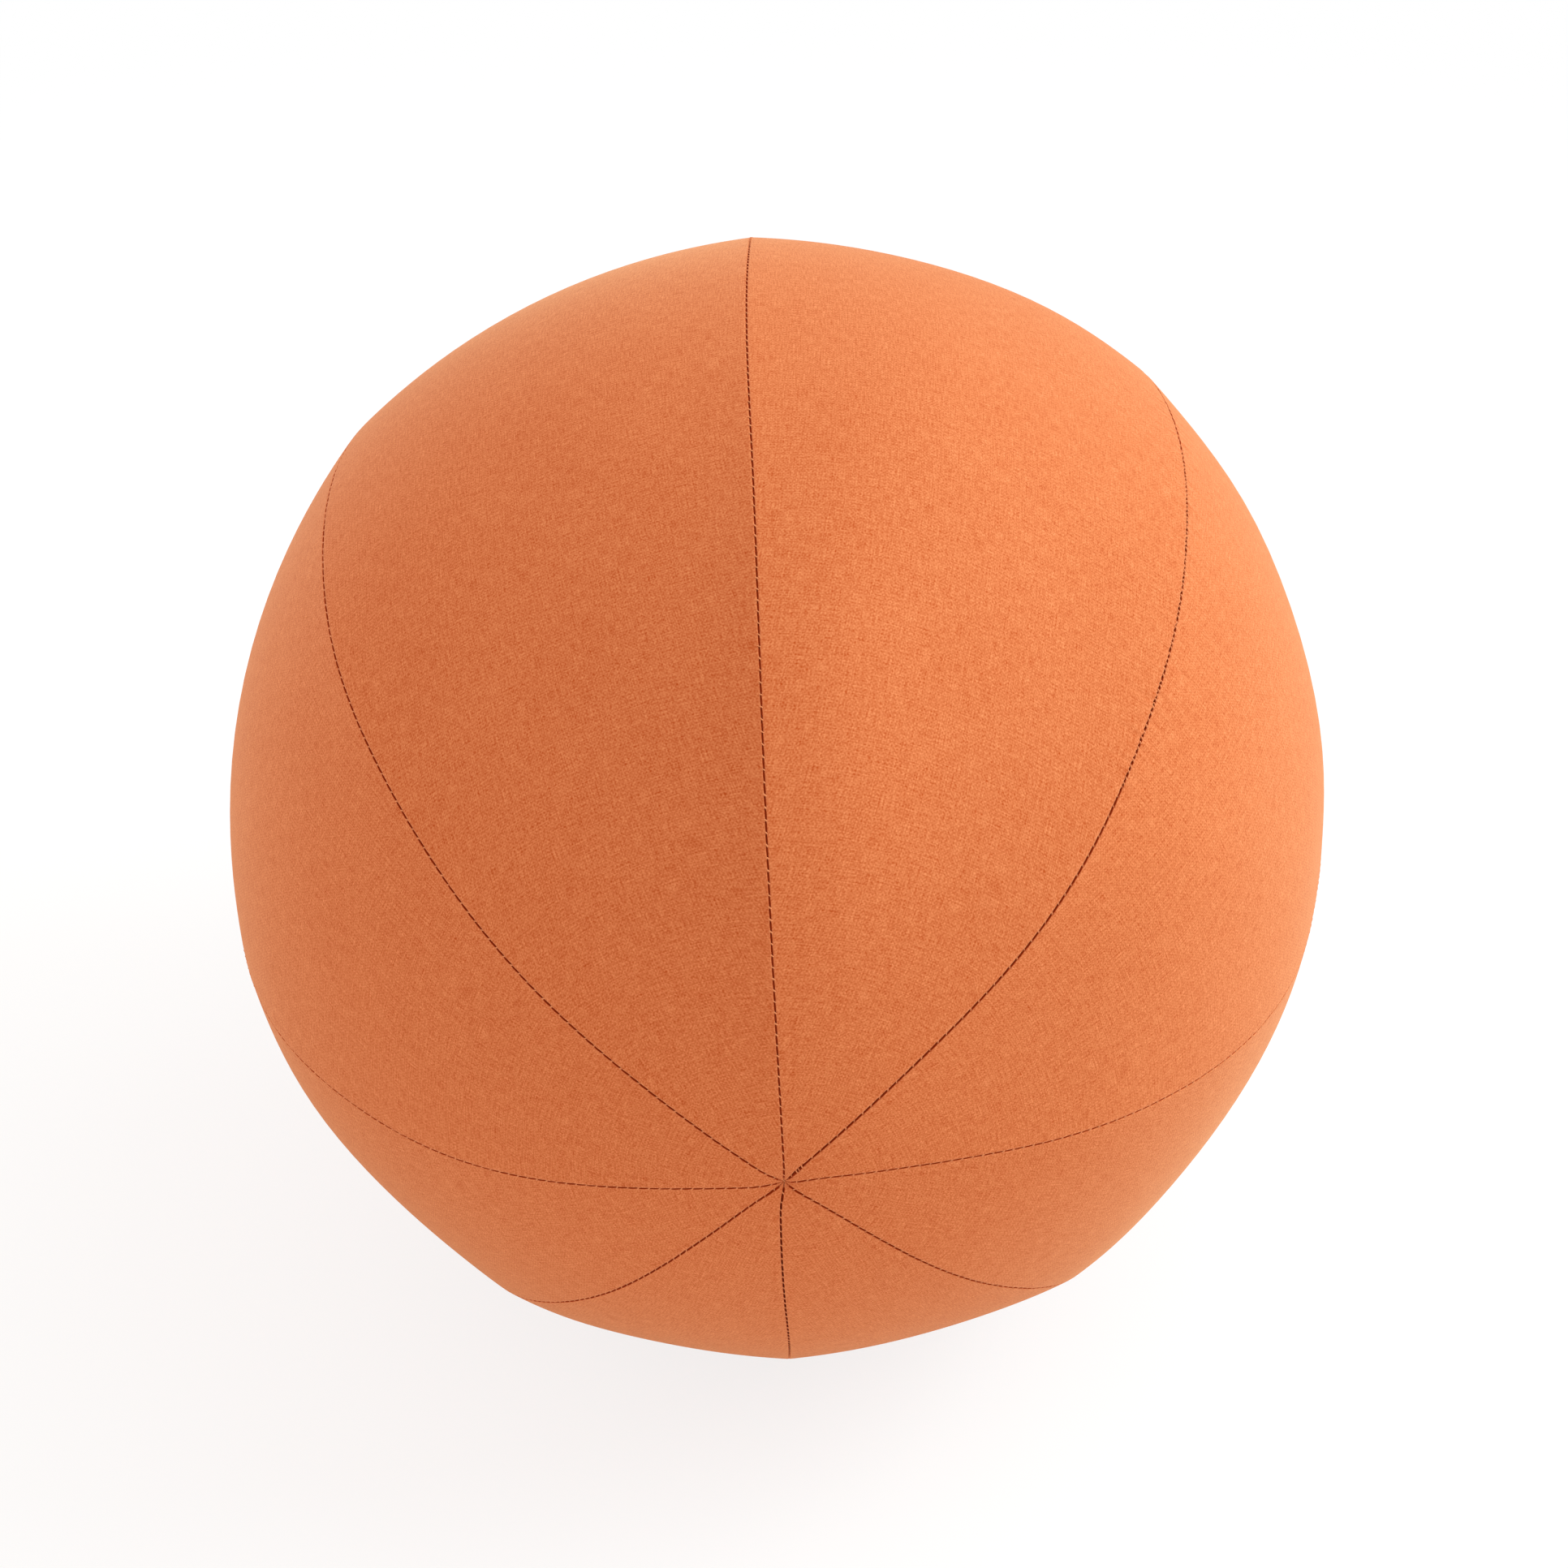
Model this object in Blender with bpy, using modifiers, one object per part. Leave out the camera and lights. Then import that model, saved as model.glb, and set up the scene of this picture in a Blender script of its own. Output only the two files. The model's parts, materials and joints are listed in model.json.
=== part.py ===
"""A soft cloth medicine ball: eight sewn gores over a lined, stuffed body with a sand core.

Metres, +Z up. The sewn axis lies along Y with the front pole at -Y, and the filled ball has settled
on the floor, z = 0. Turns go round the sewn axis from the top towards -X, and polar angles run from
the front pole to the rear pole.
"""

import math

import bmesh
import bpy
from mathutils import Vector

# Cover
GIRTH_RADIUS = 0.175  # sewn axis to the seams, half way between the poles
POLE_REACH = 0.182  # centre of the ball to a pole
GORE_ANGLES = (48, 47, 40.5, 42, 45.5, 44.5, 45.5, 47)  # shares of a turn, from the top seam by the left
POLE_FLATNESS = 0.34  # near the poles: 0 gives a round section, 1 one with eight flat sides
GIRTH_FLATNESS = 0.16  # half way between the poles
TOP_SEAM_LEAN = math.radians(2.7)  # the top seam leans this far to the left
SAG = 0.006  # how far the filled ball settles on the floor
CLOTH = 0.0009  # thickness of the cover cloth
HEM_WIDTH = 0.009  # seam allowance turned in along each edge
TIP_RADIUS = 0.0018  # the tips of the gores end this far from the sewn axis

# Where the stuffing pushes the cover out or leaves it hollow: polar angle and turn, how far the swell
# reaches in each, all in degrees, and its height
SWELLS = (
    (44, 357, 24, 13, 0.0035),
    (70, 346, 20, 12, 0.0025),
    (108, 328, 12, 16, 0.0020),
    (98, 303, 10, 10, 0.0010),
    (24, 300, 14, 32, -0.0020),
    (55, 326, 18, 13, -0.0020),
    (50, 300, 14, 14, 0.0015),
    (48, 226, 12, 14, 0.0015),
    (61, 108, 12, 14, 0.0018),
    (46, 146, 10, 12, 0.0012),
    (74, 270, 10, 10, -0.0018),
    (70, 40, 14, 12, -0.0008),
)

# Threads and knots
THREAD_RADIUS = 0.00015
CLOSING_LENGTH = 0.270  # stretch of the last seam that is closed by hand, from the front pole
KNOT_RISE = 0.0006  # a pole knot stands this far out of the cloth
KNOT_DOME = 0.0001  # rise of its top from its rim to its middle
KNOT_CROWN = 0.0004  # rounding of its rim

# Inside
LINER_CLOTH = 0.0005
SAND_RADIUS = 0.058
BAG_CLOTH = 0.0012
FIT_GAP = 0.0003  # clearance between pieces that touch

# Facets
HALF_STATIONS = 9  # steps from a pole to the girth
GORE_COLUMNS = 6  # steps across a gore
CORE_COLUMNS = 3  # the same on the core
FOLD_STEPS = 4  # steps round a folded edge
CORE_STEPS = 5  # steps from the girth of the core to its pole
KNOT_SIDES = 12
WELD_DISTANCE = 0.000003  # points nearer than this are one point
SHARP_ANGLE = math.radians(40)  # edges that turn more than this are shaded sharp

# Near its tips a gore is too narrow for full folds, which take these shares of the half width
TIP_FOLD_SHARE = 0.4
TIP_HEM_SHARE = 0.75
TIP_STEP_SHARE = 0.9

CENTRE_HEIGHT = GIRTH_RADIUS - SAG
# From the seam to the middle of a folded edge: a thread in the groove lies flush with the cloth
FOLD_OFFSET = math.sqrt((CLOTH + FIT_GAP + THREAD_RADIUS) ** 2 - (CLOTH - THREAD_RADIUS) ** 2)
SEAM_GAP = 2 * (FOLD_OFFSET - CLOTH)  # between the folded edges of two gores
LINER_DEPTH = 2 * CLOTH + FIT_GAP
LINER_ROOM = max(LINER_CLOTH, 2 * THREAD_RADIUS)
STUFFING_DEPTH = LINER_DEPTH + LINER_ROOM + FIT_GAP
BAG_INNER = SAND_RADIUS + FIT_GAP
BAG_ROOM = max(BAG_CLOTH, 2 * THREAD_RADIUS)
CAVITY_RADIUS = BAG_INNER + BAG_ROOM + FIT_GAP
JOIN_GAP = 2 * (THREAD_RADIUS + FIT_GAP)  # between two halves that are joined by a thread

GORE_NAMES = (
    "gore_top_left",
    "gore_upper_left",
    "gore_lower_left",
    "gore_bottom_left",
    "gore_bottom_right",
    "gore_lower_right",
    "gore_upper_right",
    "gore_top_right",
)
SEAM_NAMES = (
    "seam_thread_top",
    "seam_thread_upper_left",
    "seam_thread_left",
    "seam_thread_lower_left",
    "seam_thread_bottom",
    "seam_thread_lower_right",
    "seam_thread_right",
    "seam_thread_upper_right",
)


def seam_turns():
    """Turn of each seam, and of the first one again after a full turn."""
    turns = [TOP_SEAM_LEAN]
    for angle in GORE_ANGLES:
        turns.append(turns[-1] + 2 * math.pi * angle / sum(GORE_ANGLES))
    return turns


def polar_stations():
    """Polar angles from the front tips of the gores to the rear tips."""
    first = math.asin(TIP_RADIUS / GIRTH_RADIUS)
    step = (math.pi / 2 - first) / HALF_STATIONS
    return [first + step * i for i in range(2 * HALF_STATIONS + 1)]


SEAMS = seam_turns()
POLARS = polar_stations()


def panel_share(turn, along):
    """Distance from the sewn axis, as a share of that at the seams. The poles are at along -1 and 1."""
    turn = SEAMS[0] + (turn - SEAMS[0]) % (2 * math.pi)
    for first, last in zip(SEAMS, SEAMS[1:]):
        if turn <= last:
            break
    flat = math.cos((last - first) / 2) / math.cos(turn - (first + last) / 2)
    flatness = GIRTH_FLATNESS + (POLE_FLATNESS - GIRTH_FLATNESS) * along**2
    return 1 - flatness + flatness * flat


def swell(polar, turn):
    """Height of the cover over its plain form."""
    height = 0
    for at_polar, at_turn, polar_reach, turn_reach, rise in SWELLS:
        off_polar = (math.degrees(polar) - at_polar) / polar_reach
        off_turn = ((math.degrees(turn) - at_turn + 180) % 360 - 180) / turn_reach
        off_turn *= math.sin(polar) / math.sin(math.radians(at_polar))
        height += rise * math.exp(-(off_polar**2) - off_turn**2)
    return height


def settled(point):
    """The point, drawn in towards the sewn axis where the cover would reach below the floor."""
    fall = CENTRE_HEIGHT - point.z
    if fall <= 0:
        return point
    turn = math.atan2(-point.x, -fall)
    along = point.y / POLE_REACH
    girth_share = math.sqrt(max(0, 1 - along**2))
    lowest = -GIRTH_RADIUS * girth_share * panel_share(turn, along) * math.cos(turn)
    if lowest <= CENTRE_HEIGHT:
        return point
    squeeze = CENTRE_HEIGHT / lowest
    return Vector((point.x * squeeze, point.y, CENTRE_HEIGHT - fall * squeeze))


def ball_point(polar, turn, depth):
    """A point this deep under the outside of the cover."""
    depth -= swell(polar, turn)
    ring = GIRTH_RADIUS * math.sin(polar) * panel_share(turn, math.cos(polar))
    along = -POLE_REACH * math.cos(polar)
    slope = Vector((POLE_REACH * math.sin(polar), -GIRTH_RADIUS * math.cos(polar))).normalized()
    ring -= depth * slope.x
    along -= depth * slope.y
    return settled(Vector((-ring * math.sin(turn), along, CENTRE_HEIGHT + ring * math.cos(turn))))


def core_point(polar, turn, radius):
    """A point of a ball of this radius round the centre."""
    ring = radius * math.sin(polar)
    along = -radius * math.cos(polar)
    return Vector((-ring * math.sin(turn), along, CENTRE_HEIGHT + ring * math.cos(turn)))


def new_material(name, colour, roughness):
    material = bpy.data.materials.new(name)
    material.use_nodes = True
    shader = material.node_tree.nodes["Principled BSDF"]
    shader.inputs["Base Color"].default_value = (*colour, 1)
    shader.inputs["Roughness"].default_value = roughness
    shader.inputs["Metallic"].default_value = 0
    return material


def add_object(name, data, material):
    data.materials.append(material)
    obj = bpy.data.objects.new(name, data)
    ball.objects.link(obj)
    return obj


def loft(name, sections, material, capped=False):
    """A skin through rings of points. A ring of equal points closes to a pole."""
    bm = bmesh.new()
    rings = [[bm.verts.new(point) for point in section] for section in sections]
    for ring, following in zip(rings, rings[1:]):
        for i in range(len(ring)):
            j = (i + 1) % len(ring)
            bm.faces.new((ring[i], ring[j], following[j], following[i]))
    bmesh.ops.remove_doubles(bm, verts=bm.verts, dist=WELD_DISTANCE)
    if capped:
        bmesh.ops.holes_fill(bm, edges=bm.edges)
    bmesh.ops.recalc_face_normals(bm, faces=bm.faces)
    mesh = bpy.data.meshes.new(name)
    bm.to_mesh(mesh)
    bm.free()
    mesh.shade_smooth()
    mesh.set_sharp_from_angle(angle=SHARP_ANGLE)
    return add_object(name, mesh, material)


def thread(name, points, cyclic=False):
    """A round thread along the points."""
    curve = bpy.data.curves.new(name, "CURVE")
    curve.dimensions = "3D"
    curve.bevel_depth = THREAD_RADIUS
    curve.bevel_resolution = 1
    curve.use_fill_caps = True
    spline = curve.splines.new("POLY")
    spline.points.add(len(points) - 1)
    for spline_point, point in zip(spline.points, points):
        spline_point.co = (*point, 1)
    spline.use_cyclic_u = cyclic
    return add_object(name, curve, pale_thread)


def hem_edge(room):
    """The doubled edge of a gore as (distance in from its fold, depth), outside first."""
    fold = min(CLOTH, TIP_FOLD_SHARE * room)
    edge = []
    for i in range(FOLD_STEPS + 1):
        angle = math.pi * (i / FOLD_STEPS - 0.5)
        edge.append((fold * (1 - math.cos(angle)), fold * (1 + math.sin(angle))))
    edge.append((min(HEM_WIDTH, TIP_HEM_SHARE * room), 2 * fold))
    edge.append((min(HEM_WIDTH + CLOTH, TIP_STEP_SHARE * room), fold))
    return edge


def between(start, end, steps):
    """Values from start to end, without these two."""
    return [start + (end - start) * i / steps for i in range(1, steps)]


def gore_section(polar, first, last):
    """Closed section of a gore: outside, one doubled edge, inside, the other doubled edge."""
    ring = GIRTH_RADIUS * math.sin(polar)
    edge = hem_edge(ring * (last - first) / 2 - SEAM_GAP / 2)
    near = [(first + (SEAM_GAP / 2 + inset) / ring, depth) for inset, depth in edge]
    far = [(last - (SEAM_GAP / 2 + inset) / ring, depth) for inset, depth in edge]
    outside = [(turn, 0) for turn in between(near[0][0], far[0][0], GORE_COLUMNS)]
    inside = [(turn, edge[-1][1]) for turn in between(far[-1][0], near[-1][0], GORE_COLUMNS)]
    outline = outside + far + inside + near[::-1]
    return [ball_point(polar, turn, depth) for turn, depth in outline]


def add_gores():
    for name, first, last in zip(GORE_NAMES, SEAMS, SEAMS[1:]):
        sections = [gore_section(polar, first, last) for polar in POLARS]
        loft(name, sections, orange_cloth, capped=True)


def stretch_of(path, start, end):
    """The part of a path between two lengths along it."""
    stretch = []
    walked = 0
    for here, there in zip(path, path[1:]):
        step = (there - here).length
        low = max(start - walked, 0)
        high = min(end - walked, step)
        if low < high:
            if not stretch:
                stretch.append(here.lerp(there, low / step))
            stretch.append(here.lerp(there, high / step))
        walked += step
    return stretch


def add_seam_threads():
    paths = [[ball_point(polar, turn, THREAD_RADIUS) for polar in POLARS] for turn in SEAMS[:-1]]
    for name, path in zip(SEAM_NAMES[:-1], paths):
        thread(name, path)
    length = sum((there - here).length for here, there in zip(paths[-1], paths[-1][1:]))
    thread("closing_thread", stretch_of(paths[-1], 0, CLOSING_LENGTH - FIT_GAP / 2))
    thread(SEAM_NAMES[-1], stretch_of(paths[-1], CLOSING_LENGTH + FIT_GAP / 2, length))


def add_pole_knots():
    """Turned knots in the holes between the tips of the gores."""
    narrowest = min(panel_share((first + last) / 2, 1) for first, last in zip(SEAMS, SEAMS[1:]))
    radius = TIP_RADIUS * narrowest - 2 * FIT_GAP
    crown = min(KNOT_CROWN, radius / 2)
    profile = [
        (0, KNOT_RISE),
        (radius - crown, KNOT_RISE - KNOT_DOME),
        (radius, KNOT_RISE - KNOT_DOME - crown),
        (radius, -CLOTH),
        (0, -CLOTH),
    ]
    edges = [(i, i + 1) for i in range(len(profile) - 1)]
    for name, side in (("front_pole_knot", -1), ("rear_pole_knot", 1)):
        mesh = bpy.data.meshes.new(name)
        mesh.from_pydata([(x, 0, z) for x, z in profile], edges, [])
        knot = add_object(name, mesh, pale_thread)
        screw = knot.modifiers.new("turn", "SCREW")
        screw.axis = "Z"
        screw.steps = KNOT_SIDES
        screw.render_steps = KNOT_SIDES
        screw.use_merge_vertices = True
        screw.merge_threshold = WELD_DISTANCE
        knot.location = (0, side * POLE_REACH, CENTRE_HEIGHT)
        knot.rotation_euler = (-side * math.pi / 2, 0, 0)


def ring_turns(columns):
    """Turns of the points round a piece inside: at every seam, and between."""
    turns = []
    for first, last in zip(SEAMS, SEAMS[1:]):
        turns += [first] + between(first, last, columns)
    return turns


def ball_rings(polars, depth):
    return [[ball_point(polar, turn, depth) for turn in ring_turns(GORE_COLUMNS)] for polar in polars]


def core_rings(polars, radius, columns=CORE_COLUMNS):
    return [[core_point(polar, turn, radius) for turn in ring_turns(columns)] for polar in polars]


def half_way(polars, reach, gap):
    """The polar angles from the pole to half a gap short of the girth."""
    last = math.acos(gap / (2 * reach))
    return [0] + [polar for polar in polars if 0 < polar < last - polars[1] / 2] + [last]


def mirrored(polars, rear):
    return [math.pi - polar for polar in polars] if rear else polars


def add_cloth_half(name, rings, thickness, material):
    """A half of a sewn bag, as thick inwards as its cloth."""
    half = loft(name, rings, material)
    solidify = half.modifiers.new("cloth", "SOLIDIFY")
    solidify.thickness = thickness
    solidify.offset = -1
    solidify.use_even_offset = True


def add_inside():
    cover_polars = POLARS[1 : HALF_STATIONS + 1]
    core_polars = [math.pi / 2 * i / CORE_STEPS for i in range(CORE_STEPS + 1)]
    liner_half = half_way(cover_polars, POLE_REACH, JOIN_GAP)
    stuffing_half = half_way(cover_polars, POLE_REACH, FIT_GAP)
    cavity_half = half_way(core_polars, CAVITY_RADIUS, FIT_GAP)
    bag_half = half_way(core_polars, BAG_INNER + BAG_CLOTH, JOIN_GAP)
    for side, rear in (("front", False), ("rear", True)):
        rings = ball_rings(mirrored(liner_half, rear), LINER_DEPTH)
        add_cloth_half("liner_" + side, rings, LINER_CLOTH, calico)
        outside = ball_rings(mirrored(stuffing_half, rear), STUFFING_DEPTH)
        cavity = core_rings(mirrored(cavity_half, rear), CAVITY_RADIUS, GORE_COLUMNS)
        loft("stuffing_" + side, outside + cavity[::-1], fibre)
        rings = core_rings(mirrored(bag_half, rear), BAG_INNER + BAG_CLOTH)
        add_cloth_half("weight_bag_" + side, rings, BAG_CLOTH, bag_canvas)
    girth = [math.pi / 2]
    thread("liner_thread", ball_rings(girth, LINER_DEPTH + LINER_ROOM / 2)[0], cyclic=True)
    thread("weight_bag_thread", core_rings(girth, BAG_INNER + BAG_ROOM / 2)[0], cyclic=True)
    sand_polars = core_polars + [math.pi - polar for polar in core_polars[-2::-1]]
    loft("sand_fill", core_rings(sand_polars, SAND_RADIUS), sand)


for old in list(bpy.data.objects):
    bpy.data.objects.remove(old, do_unlink=True)

ball = bpy.data.collections.new("medicine_ball")
bpy.context.scene.collection.children.link(ball)

orange_cloth = new_material("orange_cloth", (0.76, 0.22, 0.07), 0.9)
pale_thread = new_material("pale_thread", (0.78, 0.52, 0.33), 0.8)
calico = new_material("calico", (0.80, 0.74, 0.62), 0.9)
fibre = new_material("fibre", (0.75, 0.70, 0.60), 1.0)
bag_canvas = new_material("bag_canvas", (0.45, 0.40, 0.30), 0.9)
sand = new_material("sand", (0.55, 0.42, 0.26), 1.0)

add_gores()
add_seam_threads()
add_pole_knots()
add_inside()
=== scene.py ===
import json
import math

import bpy
import numpy as np
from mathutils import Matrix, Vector


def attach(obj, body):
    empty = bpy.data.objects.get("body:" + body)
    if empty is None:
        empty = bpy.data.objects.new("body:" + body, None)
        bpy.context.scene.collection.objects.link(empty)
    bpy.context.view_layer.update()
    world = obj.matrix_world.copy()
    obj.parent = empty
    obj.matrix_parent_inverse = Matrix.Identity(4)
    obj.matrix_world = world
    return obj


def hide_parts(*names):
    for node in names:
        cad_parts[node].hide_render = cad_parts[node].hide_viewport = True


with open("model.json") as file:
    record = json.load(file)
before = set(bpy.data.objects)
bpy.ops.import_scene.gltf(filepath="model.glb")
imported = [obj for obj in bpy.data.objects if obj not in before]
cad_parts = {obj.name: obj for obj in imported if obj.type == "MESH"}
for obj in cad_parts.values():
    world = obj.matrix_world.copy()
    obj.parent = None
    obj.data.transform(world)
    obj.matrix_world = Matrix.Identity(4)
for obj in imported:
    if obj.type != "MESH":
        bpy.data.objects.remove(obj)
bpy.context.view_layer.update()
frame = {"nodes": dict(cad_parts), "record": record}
print("frame loaded:", len(frame["nodes"]), "solids")

mm = 0.001
fullTurn = 2 * math.pi

# form of the stuffed ball, as its solids have it but with finer swells, creases and bows: the sewn axis lies
# along Y with the front pole at -Y, turns go round it from the top by the left, polar angles run from the
# front pole to the rear pole
ball = {
    "girthRadius": 175 * mm,  # sewn axis to the seams
    "poleReach": 182 * mm,  # centre to a pole
    "goreAngles": (48, 47, 40.5, 42, 45.5, 44.5, 45.5, 47),  # degrees, from the top seam by the left
    "topSeamLean": 2.7,  # degrees to the left
    "poleFlatness": 0.34,  # near the poles: 0 is a round section, 1 has eight flat sides
    "girthFlatness": 0.16,  # half way between the poles
    "sag": 6 * mm,  # it settles this far on the floor
    "clearance": 0.05 * mm,  # kept above the floor
}
# where the stuffing pushes the cover out or leaves it hollow: polar angle and turn, how far it reaches in
# each, all in degrees, and its height in millimetres
swells = (
    (43, 356, 24, 12.5, 6.2),
    (70, 346, 20, 12, 4.0),
    (108, 328, 12, 16, 2.0),
    (98, 303, 10, 10, 1.0),
    (24, 300, 14, 32, -2.6),
    (55, 326, 18, 13, -2.6),
    (50, 300, 14, 14, 2.0),
    (48, 226, 12, 14, 1.5),
    (61, 108, 12, 14, 1.8),
    (46, 146, 10, 12, 1.2),
    (74, 270, 10, 10, -1.8),
    (70, 40, 14, 12, 0.4),
    (50, 27, 18, 12, -1.6),
    (40, 14, 20, 12, 0.9),
)
# seams that stand up as a crease between two flatter panels: polar angle of the highest place and reach
# along the seam in degrees, height and reach to each side in millimetres
creases = {"top": (36, 40, 4.0, 24), "upper_left": (60, 20, 2.2, 25)}
# no seam is quite straight: how far each bows towards larger turns at the polar angles of the bow, in
# millimetres, and then straight on to the rear pole
seamBows = {
    "top": (-0.3, -0.3, -0.6, 0.7, -0.3),
    "upper_left": (-0.8, 3.9, 0.0, -4.1, -3.0),
    "left": (-1.1, 4.3, 0.2, -2.0, -1.4),
    "lower_left": (-2.0, 4.1, 4.6, 2.6, 1.0),
    "bottom": (-1.2, 2.2, 1.3, 0.4, 0.0),
    "lower_right": (1.6, -3.1, -8.6, -5.9, -2.5),
    "right": (3.1, -3.5, -10.0, -6.8, -2.9),
    "upper_right": (2.5, -6.0, -1.1, 4.7, 5.5),
}
bow = {
    "polars": (8, 32, 56, 84, 112, 140),  # degrees, with no bow at the last
    "blend": 17,  # degrees
    "tip": 6 * mm,  # the bows end this far from the sewn axis
}
girth = ball["girthRadius"]
reach = ball["poleReach"]
centreHeight = girth - ball["sag"]
seamTurns = np.radians(np.cumsum((ball["topSeamLean"], *ball["goreAngles"])))

panelNames = (
    "top_left",
    "upper_left",
    "lower_left",
    "bottom_left",
    "bottom_right",
    "lower_right",
    "upper_right",
    "top_right",
)


def panelAt(turn):  # which panel a turn falls in, and the turn counted on from the top seam
    turn = seamTurns[0] + (turn - seamTurns[0]) % fullTurn
    return np.clip(np.searchsorted(seamTurns, turn, side="right") - 1, 0, len(panelNames) - 1), turn


def panelShare(turn, along):  # distance from the sewn axis, as a share of that at the seams
    index, turn = panelAt(turn)
    half = (seamTurns[index + 1] - seamTurns[index]) / 2
    middle = seamTurns[index] + half
    flatness = ball["girthFlatness"] + (ball["poleFlatness"] - ball["girthFlatness"]) * along**2
    return 1 - flatness + flatness * np.cos(half) / np.cos(turn - middle)


def stray(polar, turn):  # how far the bowed seams draw the cover round, as a turn
    nearness = np.exp(-(((np.degrees(polar)[..., None] - bow["polars"]) / bow["blend"]) ** 2))
    nearness /= nearness.sum(-1, keepdims=True)
    bows = np.array([(*sideways, 0) for sideways in seamBows.values()]) * mm
    index, turn = panelAt(turn)
    share = (turn - seamTurns[index]) / (seamTurns[index + 1] - seamTurns[index])
    share = share**2 * (3 - 2 * share)
    first = (nearness * bows[index]).sum(-1)
    second = (nearness * bows[(index + 1) % len(bows)]).sum(-1)
    ring = girth * np.sin(polar)
    return (first + (second - first) * share) * (1 - np.exp(-((ring / bow["tip"]) ** 2))) / ring


def swell(polar, turn):  # height of the cover over its plain form
    height = np.zeros(np.broadcast(polar, turn).shape)
    for atPolar, atTurn, polarReach, turnReach, rise in swells:
        offPolar = (np.degrees(polar) - atPolar) / polarReach
        offTurn = ((np.degrees(turn) - atTurn + 180) % 360 - 180) / turnReach
        offTurn = offTurn * np.sin(polar) / math.sin(math.radians(atPolar))
        height = height + rise * mm * np.exp(-(offPolar**2) - offTurn**2)
    return height


def crease(polar, turn):  # height of the creased seams
    height = np.zeros(np.broadcast(polar, turn).shape)
    for name, (atPolar, polarReach, rise, reachAcross) in creases.items():
        seamTurn = seamTurns[list(seamBows).index(name)]
        offPolar = (np.degrees(polar) - atPolar) / polarReach
        across = np.abs((turn - seamTurn + math.pi) % fullTurn - math.pi) * girth * np.sin(polar)
        height = height + rise * mm * np.exp(-(offPolar**2) - across / (reachAcross * mm))
    return height * (1 - np.exp(-((girth * np.sin(polar) / bow["tip"]) ** 2)))


def settled(x, y, z):  # drawn in towards the sewn axis where the ball would reach below the floor
    fall = centreHeight - z
    turn = np.arctan2(-x, -fall)
    girthShare = np.sqrt(np.maximum(0, 1 - (y / reach) ** 2))
    lowest = -girth * girthShare * panelShare(turn, y / reach) * np.cos(turn)
    pressed = (fall > 0) & (lowest > centreHeight)
    squeeze = np.where(pressed, centreHeight / np.where(pressed, lowest, 1), 1)
    z = np.maximum(centreHeight - fall * squeeze, ball["clearance"])
    return np.stack((x * squeeze, y, z), -1)


def coverPoint(polar, turn, depth):  # this deep under the outside of the cover, turns as cut, before the bows
    bowed = turn + stray(polar, turn)
    depth = depth - swell(polar, bowed) - crease(polar, turn)
    ring = girth * np.sin(polar) * panelShare(turn, np.cos(polar))
    along = -reach * np.cos(polar)
    slope = np.hypot(reach * np.sin(polar), girth * np.cos(polar))
    ring = ring - depth * reach * np.sin(polar) / slope
    along = along + depth * girth * np.cos(polar) / slope
    return settled(-ring * np.sin(bowed), along, centreHeight + ring * np.cos(bowed))


# materials
def colour(hexCode):  # sRGB hex to linear
    channels = [int(hexCode[i : i + 2], 16) / 255 for i in (1, 3, 5)]
    linear = [c / 12.92 if c <= 0.04045 else ((c + 0.055) / 1.055) ** 2.4 for c in channels]
    return (*linear, 1)


def addNode(tree, kind, inputs=None, **settings):
    node = tree.nodes.new("ShaderNode" + kind)
    for name, value in settings.items():
        setattr(node, name, value)
    for socket, value in (inputs or {}).items():
        if isinstance(value, bpy.types.NodeSocket):
            tree.links.new(value, node.inputs[socket])
        else:
            node.inputs[socket].default_value = value
    return node


def newMaterial(name):
    material = bpy.data.materials.new(name)
    material.use_nodes = True
    return material, material.node_tree, material.node_tree.nodes["Principled BSDF"]


# plain-woven cotton of about 19 threads to the centimetre, spun unevenly: a matt, slightly hairy cloth whose
# thread tops are paler than the hollows between them, with thick and thin stretches in both sets of threads
orangeCotton = {
    "hollow": "#AE4206",  # between the threads
    "colour": "#DF8A58",  # tops of the threads
    "foldHighlightColour": "#E59160",  # painted highlight along the rolled edges of the seams
    "needleHole": "#7E2404",  # painted shade round the holes where the stitches go in
    "seamShadeTones": ("#9C340C", "#B0420F"),  # painted shade: darker cloth on the edges that are turned in, where no light falls
    "thread": 0.52 * mm,  # from one thread to the next
    "wander": 2.2,  # threads' widths between the farthest that they stray to either side
    "wanderScale": 0.23,  # how quickly they stray, per thread
    "weaveTone": 0.5,  # contrast between thread tops and hollows
    "hair": 0.58 * mm,  # size of the light and dark flecks that loose fibres give
    "hairTone": 1.4,  # their contrast
    "hairShare": 0.5,  # of the pattern, the rest is the weave
    "slub": (0.34 * mm, 5 * mm),  # width and length of a thick or thin stretch of thread
    "slubTone": 0.75,
    "cloud": 28 * mm,  # size of the soft patches where the dye took unevenly
    "cloudTone": 0.1,
    "relief": 0.10 * mm,
    "reliefStrength": 0.5,
    "roughness": 0.9,
    "shine": 0.15,
    "sheen": 0.28,
    "sheenRoughness": 0.4,
    "sheenTint": "#FFDCA8",
}


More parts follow.
